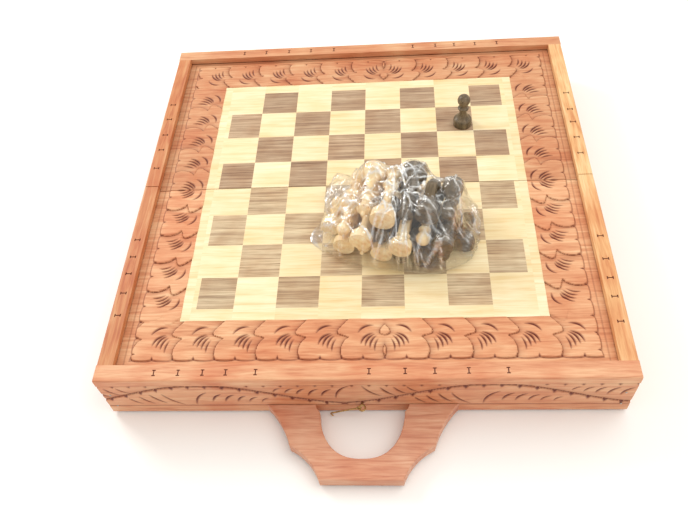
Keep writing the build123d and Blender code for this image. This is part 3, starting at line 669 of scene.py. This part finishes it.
for side, half in ((-1, "front"), (1, "back")):
    wall = carvedWall(half + "_wall", half + "_carved_wall", side, 0)
    mount(wall, half + "_half", "wall_wood", woods[half + "RailWood"], half + "_wall")
    for sx, hand in ((-1, "left"), (1, "right")):
        source = f"{half}_{hand}_wall"
        wall = carvedWall(source, f"{half}_{hand}_carved_wall", side, sx)
        mount(wall, half + "_half", "wall_wood", woods[hand + "RailWood"], source)
print("walls carved")

# turned pieces: steps of (radius, height, bulge) from the foot up
profiles = {
    "pawn": [(8.75, 0, 0), (8.75, 4.6, 0), (7.4, 8.4, 0.6), (3.5, 18.4, -1.6), (5.2, 19.6, 0), (5.2, 20.8, 0),
             (3.2, 24.4, -0.5), (0, 35.5, 1)],
    "rook": [(9.25, 0, 0), (9.25, 4.8, 0), (7.6, 8.8, 0.65), (4.7, 24, -1.2), (6.3, 26, -0.4), (6.7, 27.2, 0),
             (6.7, 36, 0), (4.4, 36, 0), (4.4, 33, 0), (0, 33, 0)],
    "bishop": [(9.25, 0, 0), (9.25, 4.8, 0), (7.6, 8.8, 0.65), (3.5, 26, -2), (5.7, 28.2, 0), (5.7, 30, 0),
               (3.4, 32, -0.5), (1.5, 43.2, 3.6), (1.5, 44, 0), (0, 46.6, 1)],
    "queen": [(9.6, 0, 0), (9.6, 5.2, 0), (8, 9.6, 0.7), (3.9, 29, -2.4), (5.9, 31.4, 0), (5.9, 33.2, 0),
              (3.9, 35.2, -0.5), (6.4, 48, -1.2), (5, 49.2, 0), (1.6, 50.4, 0), (0, 53.8, 1)],
    "king": [(10.4, 0, 0), (10.4, 5.4, 0), (8.6, 10, 0.75), (4.3, 35, -2.8), (6.4, 37.6, 0), (6.4, 39.6, 0),
             (4.4, 41.8, -0.5), (6.8, 52, -1.1), (0, 54.6, 1)],
    "knight": [(9.25, 0, 0), (9.25, 4.8, 0), (7.6, 8.8, 0.65), (5.4, 12.6, -0.8), (6.2, 13.6, 0),
               (6.2, 15, 0), (0, 15, 0)],
}
tall = {"pawn": 35.5, "rook": 36.0, "knight": 41.0, "bishop": 46.6, "queen": 53.8, "king": 61.0}
turning = {"steps": 40, "ease": 0.35, "domeSteps": 14, "archSteps": 10}


# half outline of a piece as (radius, height) points, with its arcs sampled
def profileLine(kind):
    points = [(0.0, 0.0)]
    entries = profiles[kind]
    for (r0, h0, _), (r1, h1, swell) in zip([(0, 0, 0)] + entries, entries):
        if r1 == 0 and swell:
            rise = h1 - h0
            ball = (r0 ** 2 + rise ** 2) / (2 * rise)
            start = math.acos((rise - ball) * -1 / ball)
            for i in range(1, turning["domeSteps"] + 1):
                turn = start * (1 - i / turning["domeSteps"])
                points.append((ball * math.sin(turn), h1 - ball + ball * math.cos(turn)))
        elif swell:
            length = math.hypot(r1 - r0, h1 - h0)
            for i in range(1, turning["archSteps"] + 1):
                t = i / turning["archSteps"]
                bulge = 4 * swell * t * (1 - t) / length
                points.append((r0 + (r1 - r0) * t + (h1 - h0) * bulge,
                               h0 + (h1 - h0) * t - (r1 - r0) * bulge))
        else:
            points.append((r1, h1))
    return easeCorners(points, turning["ease"])


# breaks each sharp corner so that it catches the light
def easeCorners(points, ease):
    eased = [points[0]]
    for before, corner, after in zip(points, points[1:], points[2:]):
        a = Vector(before) - Vector(corner)
        b = Vector(after) - Vector(corner)
        if a.angle(b) > math.radians(155):
            eased.append(corner)
            continue
        reach = min(ease, a.length * 0.4, b.length * 0.4)
        start = Vector(corner) + a.normalized() * reach
        end = Vector(corner) + b.normalized() * reach
        middle = (start + end + Vector(corner) * 2) / 4
        eased += [tuple(start), tuple(middle), tuple(end)]
    return eased + [points[-1]]


def turnedShape(kind):
    bm = bmesh.new()
    line = [bm.verts.new((r, 0, h)) for r, h in profileLine(kind)]
    for a, b in zip(line, line[1:]):
        bm.edges.new((a, b))
    bmesh.ops.spin(bm, geom=bm.verts[:] + bm.edges[:], cent=(0, 0, 0), axis=(0, 0, 1), angle=math.tau,
                   steps=turning["steps"], use_merge=True)
    bmesh.ops.remove_doubles(bm, verts=bm.verts, dist=0.002)
    bmesh.ops.recalc_face_normals(bm, faces=bm.faces)
    return bm


def addBox(bm, size, centre):
    cube = addCube(bm, size, Matrix.Translation(centre))
    edges = list({e for v in cube for e in v.link_edges})
    bmesh.ops.bevel(bm, geom=edges, offset=0.25, segments=2, profile=0.5, affect="EDGES", material=-1)


# flat carved head of the knight, rounded along both outlines
def knightHead(bm):
    outline = [(-5.6, 14.4), (5.4, 14.4), (4.7, 17.2), (3.6, 20), (2.4, 22.2), (1.6, 24), (1.9, 25.4),
               (3.4, 25.6), (5.0, 24.6), (6.4, 24.2), (7.3, 27), (6.6, 30.2), (5.6, 32.6), (4.1, 35.2),
               (2.6, 37.6), (1.0, 41), (-0.8, 37.8), (-3.2, 36.2), (-4.8, 33), (-6.0, 29.2), (-6.4, 25),
               (-6.3, 20)]
    rim = [bm.verts.new((x, -4.3, z)) for x, z in outline]
    face = bm.faces.new(rim)
    raised = bmesh.ops.extrude_face_region(bm, geom=[face])["geom"]
    lifted = [v for v in raised if isinstance(v, bmesh.types.BMVert)]
    bmesh.ops.translate(bm, verts=lifted, vec=(0, 8.6, 0))
    ends = [face] + [f for f in raised if isinstance(f, bmesh.types.BMFace)]
    edges = list({e for f in ends for e in f.edges})
    bmesh.ops.bevel(bm, geom=edges, offset=1.5, segments=3, profile=0.5, affect="EDGES", material=-1,
                    clamp_overlap=True)
    bmesh.ops.recalc_face_normals(bm, faces=bm.faces)


def cutAway(piece, cutter):
    change = piece.modifiers.new("cut", "BOOLEAN")
    change.object = cutter
    change.operation = "DIFFERENCE"
    change.solver = "EXACT"
    bpy.context.view_layer.update()
    graph = bpy.context.evaluated_depsgraph_get()
    result = bpy.data.meshes.new_from_object(piece.evaluated_get(graph))
    piece.modifiers.clear()
    piece.data = result
    bpy.data.objects.remove(cutter)


# what is cut out of a piece: battlements, mitre slot, crown gaps, eyes and mane
def cutterFor(kind):
    bm = bmesh.new()
    if kind == "rook":
        for turn in (0, 60, 120):
            addCube(bm, (16, 1.8, 3.6), Matrix.Translation((0, 0, 35.2)) @ turned(turn, "Z"))
    elif kind == "bishop":
        addCube(bm, (8, 12, 1), Matrix.Translation((4, 0, 41)) @ turned(-40, "Y"))
    elif kind == "queen":
        for turn in range(0, 360, 45):
            addCube(bm, (3.8, 1.6, 5), turned(turn, "Z") @ Matrix.Translation((6.5, 0, 49.4)))
    elif kind == "knight":
        for centreY in (-4.6, 4.6):
            eye = Matrix.Translation((2.3, centreY, 33.0))
            bmesh.ops.create_uvsphere(bm, u_segments=12, v_segments=8, radius=0.85, matrix=eye)
            nostril = Matrix.Translation((5.8, centreY, 27.6))
            bmesh.ops.create_uvsphere(bm, u_segments=10, v_segments=6, radius=0.7, matrix=nostril)
            for height in (21.0, 24.6, 28.2, 31.8):
                spot = Matrix.Translation((-4.6, centreY * 0.93, height))
                addCube(bm, (5.0, 1.0, 0.7), spot @ turned(28, "Y"))
    return toObject(bm, kind + "Cutter")


def makeShape(kind):
    bm = turnedShape(kind)
    if kind == "king":
        addBox(bm, (1.9, 1.9, 7.2), (0, 0, 57.4))
        addBox(bm, (5.4, 1.9, 1.9), (0, 0, 57.8))
    if kind == "knight":
        knightHead(bm)
    model = toObject(bm, kind + "Model")
    if kind in ("rook", "bishop", "queen", "knight"):
        cutAway(model, cutterFor(kind))
    bm = bmesh.new()
    bm.from_mesh(model.data)
    bmesh.ops.scale(bm, verts=bm.verts, vec=(mm,) * 3)
    shadeByAngle(bm, 38)
    mesh = bpy.data.meshes.new(kind + "Shape")
    bm.to_mesh(mesh)
    bm.free()
    bpy.data.objects.remove(model)
    return mesh


shapes = {kind: makeShape(kind) for kind in profiles}


# copies of one shape, each with its own place in the wood
def pieceSet(name, kind, matrices):
    local = coordinates(shapes[kind])
    bm = bmesh.new()
    for matrix in matrices:
        copy = shapes[kind].copy()
        copy.transform(matrix)
        bm.from_mesh(copy)
        bpy.data.meshes.remove(copy)
    piece = toObject(bm, name)
    spaces = [local + Vector((0.31, 0.17, 0.53)) * (index + len(name)) for index in range(len(matrices))]
    addVectors(piece.data, "turned", np.concatenate(spaces))
    return piece


bottomLayer, middleLayer, topLayer = 10.4, 26.7, 43.4
bag = {"x": 32.0, "out": 53.0, "yaw": -11.0, "gap": 0.9}


def pair(u, height, first, second, headsIn):
    a, b = tall[first], tall[second]
    total = a + b + bag["gap"]
    turn = (90, 270) if headsIn else (270, 90)
    return [(first, u, (a - total) / 2, height, turn[0]), (second, u, (total - b) / 2, height, turn[1])]


pile = [("pawn", -57.0, 0, bottomLayer - 0.6, 90), ("pawn", 57.2, 0, bottomLayer - 0.6, 90)]
pile += pair(-41.2, bottomLayer, "rook", "rook", True)
pile += pair(-24.7, bottomLayer, "bishop", "pawn", False)
pile += pair(-8.4, bottomLayer, "knight", "rook", True)
pile += pair(8.4, bottomLayer, "queen", "pawn", False)
pile += pair(25.2, bottomLayer, "rook", "knight", True)
pile += pair(41.6, bottomLayer, "pawn", "pawn", False)
pile += pair(-41.2, middleLayer - 0.2, "pawn", "pawn", False)
pile += pair(-25.0, middleLayer, "bishop", "pawn", True)
pile += pair(-8.4, middleLayer, "bishop", "pawn", False)
pile += pair(8.4, middleLayer, "knight", "bishop", True)
pile += pair(25.0, middleLayer + 0.4, "pawn", "pawn", False)
pile += pair(41.6, middleLayer - 0.4, "pawn", "pawn", True)
pile += [("queen", -25.2, 0, topLayer - 0.4, 270), ("king", -8.4, 0, topLayer, 90),
         ("king", 8.8, 0, topLayer, 270), ("knight", 25.6, 0, topLayer + 0.1, 90),
         ("pawn", 42.2, 0, topLayer - 2.0, 270)]

bagSpot = Vector((bag["x"], along(-1, bag["out"]), panelTop)) * mm
bagPlace = Matrix.Translation(bagSpot) @ turned(bag["yaw"], "Z")


# a piece on its side in the bag, from its middle in the plan of the bag
def lying(kind, u, v, height, heading):
    turn = math.radians(heading)
    back = tall[kind] / 2
    base = Vector((u - back * math.cos(turn), v - back * math.sin(turn), height)) * mm
    return bagPlace @ Matrix.Translation(base) @ turned(heading, "Z") @ turned(90, "Y")


for kind in profiles:
    same = sorted((entry for entry in pile if entry[0] == kind), key=lambda entry: entry[1])
    lightCount = (len(same) + 1) // 2
    for tone, entries in (("light", same[:lightCount]), ("dark", same[lightCount:])):
        matrices = [lying(*entry) for entry in entries]
        material = woods["paleTurning" if tone == "light" else "darkTurning"]
        if kind == "pawn":
            groups = {f"{tone}_pawns": matrices}
        elif len(matrices) == 1:
            groups = {f"{tone}_{kind}": matrices}
        else:
            groups = {f"{tone}_{kind}_{n + 1}": [m] for n, m in enumerate(matrices)}
        for nodeName, places in groups.items():
            piece = pieceSet(nodeName + "_turned", kind, places)
            mount(piece, "piece_bag", tone + "_piece_wood", material, nodeName)

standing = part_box("standing_dark_pawn")
centre = (standing[0] + standing[1]) / 2
upright = pieceSet("standing_pawn_turned", "pawn", [Matrix.Translation((centre.x, centre.y, standing[0].z))])
mount(upright, "dark_pawn", "dark_piece_wood", woods["darkTurning"], "standing_dark_pawn")
print("pieces turned")

# film bag: half sizes and heights in mm, mouth and flap as directions in its plan in degrees
film = {"halfU": 69.0, "halfV": 50.0, "squareness": 3.2, "mouth": 150, "mouthReach": 0.13,
        "rimHeight": 7.0, "top": 54.6, "cell": 1.0, "gap": 0.7, "rings": 92, "spokes": 264,
        "flap": 196, "flapReach": 9.0, "settleSteps": 900, "creases": 110, "ripples": 24, "seed": 11}


# height of the heap of pieces under each point of the plan of the bag
def heightUnder(grid):
    us, vs = grid
    heights = np.zeros_like(us)
    for kind, u, v, height, heading in pile:
        line = np.array(profileLine(kind))
        reach = np.linspace(0, tall[kind], 60)
        radii = np.array([max([r for r, h in line if abs(h - at) < 1.3] + [1.0]) for at in reach])
        turn = math.radians(heading)
        du, dv = us - u, vs - v
        lengthwise = du * math.cos(turn) + dv * math.sin(turn) + tall[kind] / 2
        sideways = -du * math.sin(turn) + dv * math.cos(turn)
        inside = (lengthwise > -0.8) & (lengthwise < tall[kind] + 0.8)
        radius = np.interp(lengthwise, reach, radii) + film["gap"]
        cap = height + np.sqrt(np.clip(radius ** 2 - sideways ** 2, 0, None))
        heights = np.where(inside & (np.abs(sideways) < radius), np.maximum(heights, cap), heights)
    return heights


# reach of the bag in each direction: a soft rectangle, longer at its mouth
def outline(angle):
    power = film["squareness"]
    partU = np.abs(np.cos(angle) / film["halfU"]) ** power
    partV = np.abs(np.sin(angle) / film["halfV"]) ** power
    fromMouth = np.mod(angle - math.radians(film["mouth"]) + math.pi, math.tau) - math.pi
    return (partU + partV) ** (-1 / power) * (1 + film["mouthReach"] * np.exp(-(fromMouth / 0.36) ** 2))


# film let down on the heap: it sinks and smooths, and the heap holds it up
def relaxedTop():
    span = np.arange(-76, 77, film["cell"])
    us, vs = np.meshgrid(span, span, indexing="ij")
    floor = heightUnder((us, vs))
    angle = np.arctan2(vs, us)
    away = np.hypot(us, vs) / outline(angle)
    pocket = 20 - ((us + 60) ** 2 + (vs - 36) ** 2) / 9  # air in the corner at the back left
    floor = np.maximum(floor, np.where(pocket > 8, pocket, 0))
    skin = np.where(away < 1, film["top"], film["rimHeight"])
    for _ in range(film["settleSteps"]):
        around = (np.roll(skin, 1, 0) + np.roll(skin, -1, 0) + np.roll(skin, 1, 1) + np.roll(skin, -1, 1)) / 4
        skin = np.maximum(around - 0.035, floor)
        skin = np.where(away < 0.985, skin, film["rimHeight"])
    return span, skin


# values of a table at u and v, blended between its cells
def sample(span, table, u, v):
    a = np.clip((u - span[0]) / film["cell"], 0, len(span) - 1.001)
    b = np.clip((v - span[0]) / film["cell"], 0, len(span) - 1.001)
    i, j = a.astype(int), b.astype(int)
    fa, fb = a - i, b - j
    return (table[i, j] * (1 - fa) * (1 - fb) + table[i + 1, j] * fa * (1 - fb)
            + table[i, j + 1] * (1 - fa) * fb + table[i + 1, j + 1] * fa * fb)


# lift and shine of crossing ripples and of single sharp creases; the shine is a painted highlight on their
# crests
def creaseField(u, v, rng):
    lift = np.zeros_like(u)
    shine = np.zeros_like(u)
    for i in range(film["ripples"]):
        heading = rng.uniform(0, math.pi)
        wave = rng.uniform(13, 30)
        phase = (u * math.cos(heading) + v * math.sin(heading)) / wave * math.pi + rng.uniform(0, 6)
        phase = phase + 0.9 * np.sin((v * math.cos(heading) - u * math.sin(heading)) / rng.uniform(9, 16))
        patch = np.sin(u / rng.uniform(11, 24) + rng.uniform(0, 6)) * np.sin(v / rng.uniform(11, 24) + i)
        patch = np.clip(patch, 0, 1)
        ridge = (1 - np.abs(np.sin(phase))) ** 5 * patch
        lift = lift + 1.5 * ridge
        shine = np.maximum(shine, 0.75 * np.clip(ridge * 2.2 - 1.0, 0, 1))
    for i in range(film["creases"]):
        turn = rng.uniform(0, math.tau)
        at = rng.uniform(0.1, 0.92)
        centreU = at * outline(np.array(turn)) * math.cos(turn)
        centreV = at * outline(np.array(turn)) * math.sin(turn)
        heading = turn + rng.normal(0, 0.5) if i % 3 else rng.uniform(0, math.pi)
        length = rng.uniform(10, 38)
        rise = rng.uniform(0.5, 1.9)
        start = (centreU - math.cos(heading) * length / 2, centreV - math.sin(heading) * length / 2)
        end = (centreU + math.cos(heading) * length / 2, centreV + math.sin(heading) * length / 2)
        bend = rng.uniform(-4, 4)
        width = rng.uniform(2.6, 5.5)
        ridge = cutDepth(u, v, start, end, bend, width, 1.0)
        lift = lift + rise * ridge
        shine = np.maximum(shine, rng.uniform(0.4, 1.0) * np.clip(ridge * 2.2 - 1.0, 0, 1))
    return lift, shine


# closed film bag: draped top, tucked wall and flat underside
def makeBag():
    rng = np.random.default_rng(film["seed"])
    span, skin = relaxedTop()
    bm = bmesh.new()
    bmesh.ops.create_grid(bm, x_segments=film["spokes"], y_segments=film["rings"], size=1)
    piece = toObject(bm, "clear_film_bag")
    grid = coordinates(piece.data)
    angle = (grid[:, 0] + 1) * math.pi
    inward = (grid[:, 1] + 1) / 2  # 0 at the middle of the top, 1 at the middle underneath
    topShare, wallShare = 0.62, 0.80  # where the top and the wall end
    wobble = 1.3 * np.sin(3 * angle + 1) + 0.9 * np.sin(7 * angle + 2.4) + 0.6 * np.sin(13 * angle)
    toFlap = angle - math.radians(film["flap"])
    flap = sum(film["flapReach"] * np.exp(-(np.mod(way * toFlap, math.tau) / 0.22) ** 2) for way in (1, -1))
    rim = outline(angle) - 1.4 + np.minimum(wobble, 0.9)
    onTop = inward < topShare
    share = np.clip(inward / topShare, 0, 1) ** 0.85
    radius = rim * share
    u, v = radius * np.cos(angle), radius * np.sin(angle)
    height = sample(span, skin, u, v)
    lift, shine = creaseField(u, v, rng)
    height = height + lift * ramp(1 - share, 0.0, 0.08)
    down = np.clip((inward - topShare) / (wallShare - topShare), 0, 1)
    tuck = flap * np.sin(down * math.pi / 2) - 4.0 * ramp(down, 0.5, 1.0) * (flap < 1)
    wallHeight = film["rimHeight"] * (1 - down) ** (1 + 1.5 * (flap > 2)) + 0.35
    radius = np.where(onTop, radius, rim + tuck)
    height = np.where(onTop, height, wallHeight)
    under = np.clip((inward - wallShare) / (1 - wallShare), 0, 1)
    radius = np.where(inward >= wallShare, (rim + tuck) * (1 - under), radius)
    height = np.where(inward >= wallShare, 0.3, height)
    height = np.minimum(height, film["top"])
    folds = 0.5 * np.sin(41 * angle + 3 * np.sin(5 * angle)) * np.exp(-((inward - topShare) / 0.09) ** 2)
    fall = ramp(share, 0.80, 0.97) * (inward < wallShare)
    pleats = (1 - np.abs(np.sin(19 * angle + 2.2 * np.sin(4 * angle) + 1.6 * share * 4))) ** 4
    pleats = pleats * (0.5 + 0.5 * np.sin(5 * angle + 2))
    radius = radius + folds + 2.0 * fall * pleats * (1 - down)
    points = np.stack([radius * np.cos(angle), radius * np.sin(angle), np.maximum(height, 0.3)], 1)
    # painted highlights: a band around the middle of the wall and the crests of the pleats, stored with the
    # crease shine
    hemShine = np.exp(-((down - 0.55) / 0.2) ** 2) * 0.35 * (inward >= topShare) * (inward < wallShare)
    shine = np.maximum(np.maximum(shine * onTop, hemShine), 0.8 * fall * np.clip(pleats * 2 - 0.8, 0, 1))
    setCoordinates(piece.data, points * mm)
    addValues(piece.data, "creaseShine", shine)
    bm = bmesh.new()
    bm.from_mesh(piece.data)
    bmesh.ops.remove_doubles(bm, verts=bm.verts, dist=0.00002)
    bmesh.ops.recalc_face_normals(bm, faces=bm.faces)
    for face in bm.faces:
        face.smooth = True
    bm.to_mesh(piece.data)
    bm.free()
    piece.data.transform(bagPlace)
    return piece


mount(makeBag(), "piece_bag", "clear_film", filmLook, "plastic_bag")
print("bag draped")

# finishes of the parts kept from the frame
kept = {"handle": woods["handleWood"], "handle_screws": steel, "hook_screw_eye": brass,
        "catch_screw_eye": brass, "latch_hook": brass, "left_hinge_pin": steel, "right_hinge_pin": steel}
for half in ("front", "back"):
    kept[half + "_hinge_wall"] = woods[half + "RailWood"]
    kept[half + "_light_veneer"] = woods["paleVeneer"]
    kept[half + "_dark_squares"] = woods[half + "Walnut"]
    kept[half + "_hinge_screws"] = brass
    kept[half + "_corner_nails"] = steel
    kept[half + "_feet"] = felt
    kept[f"left_hinge_{half}_leaf"] = brass
    kept[f"right_hinge_{half}_leaf"] = brass
for name, material in kept.items():
    dress(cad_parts[name], material)

# floor, light and camera
studio = {"floor": tint(252, 251, 248), "sky": 0.88, "key": 8.5, "fill": 6.5}
bm = bmesh.new()
bmesh.ops.create_grid(bm, x_segments=4, y_segments=4, size=3)
ground = toObject(bm, "studio_floor")
groundLook, tree = newMaterial("paleFloor")
surface(tree, studio["floor"], 0.6, [])
dress(ground, groundLook)

world = bpy.data.worlds.new("softSky")
world.use_nodes = True
world.node_tree.nodes["Background"].inputs["Color"].default_value = (1.0, 0.985, 0.96, 1)
world.node_tree.nodes["Background"].inputs["Strength"].default_value = studio["sky"]
bpy.context.scene.world = world


def addArea(name, location, target, size, power, colour):
    lamp = bpy.data.lights.new(name, "AREA")
    lamp.size = size
    lamp.energy = power
    lamp.color = colour
    made = bpy.data.objects.new(name, lamp)
    made.location = location
    made.rotation_euler = (Vector(target) - Vector(location)).to_track_quat("-Z", "Y").to_euler()
    bpy.context.scene.collection.objects.link(made)


addArea("windowLight", (-1.0, 0.7, 0.85), (0, 0, 0), 0.5, studio["key"], (1.0, 0.98, 0.95))
addArea("fillLight", (0.7, 0.1, 1.2), (0, 0, 0), 1.2, studio["fill"], (1.0, 0.97, 0.91))

view = {"lens": 37.5, "sensor": 36.0, "location": (0.0321, -0.4277, 0.5299),
        "degrees": (37.51, 4.277, 1.803)}
cameraData = bpy.data.cameras.new("camera")
cameraData.lens = view["lens"]
cameraData.sensor_width = view["sensor"]
camera = bpy.data.objects.new("camera", cameraData)
camera.location = view["location"]
camera.rotation_euler = [math.radians(a) for a in view["degrees"]]
bpy.context.scene.collection.objects.link(camera)
bpy.context.scene.camera = camera
bpy.context.scene.view_settings.view_transform = "Standard"

print("scene ready")
